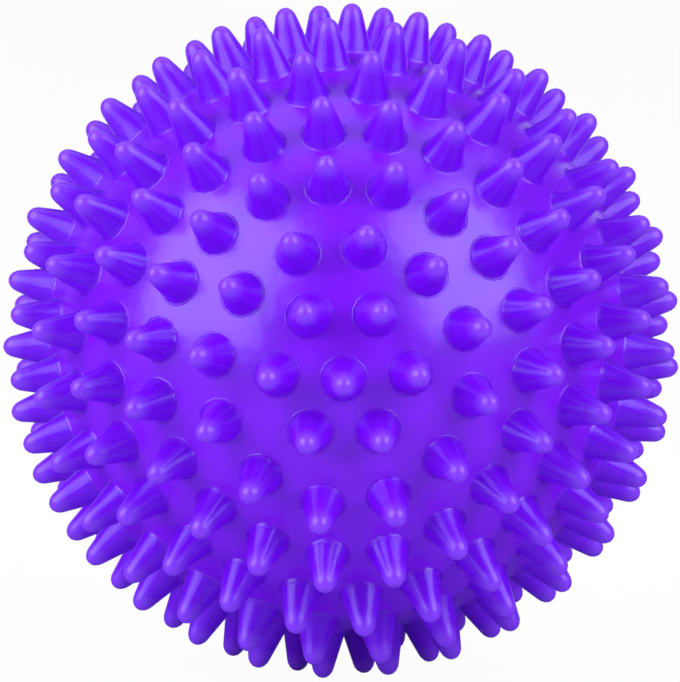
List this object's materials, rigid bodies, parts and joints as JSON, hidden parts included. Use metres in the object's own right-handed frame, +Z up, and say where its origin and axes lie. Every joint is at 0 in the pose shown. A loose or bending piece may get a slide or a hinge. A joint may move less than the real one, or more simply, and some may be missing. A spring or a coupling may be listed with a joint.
{
  "type": "spiky massage ball",
  "caption": "Hollow soft ball with blunt cone spikes in rings all over it, for rolling under hand or foot, with a push-in air valve at one pole.",
  "frame": {"origin": "centre of the ball", "axes": "+Z up as the picture shows it, +Y along the moulding axis towards the valve at the rear pole, +X to the right seen from the front pole"},
  "size_m": [0.0898, 0.0889, 0.0898],
  "materials": {
    "shell": "soft PVC, satin gloss, violet",
    "valve_seat": "soft PVC, satin, deep violet",
    "valve_plug": "soft plastic, milky white"
  },
  "bodies": {
    "ball": {"front_half_shell": "shell", "rear_half_shell": "shell", "valve_seat": "valve_seat"},
    "plug": {"valve_plug": "valve_plug"}
  },
  "joints": [
    {"name": "valve_plug_pull", "type": "slide", "parent": "ball", "child": "plug", "axis": [0, 1, 0], "range_m": [0, 0.013]}
  ]
}
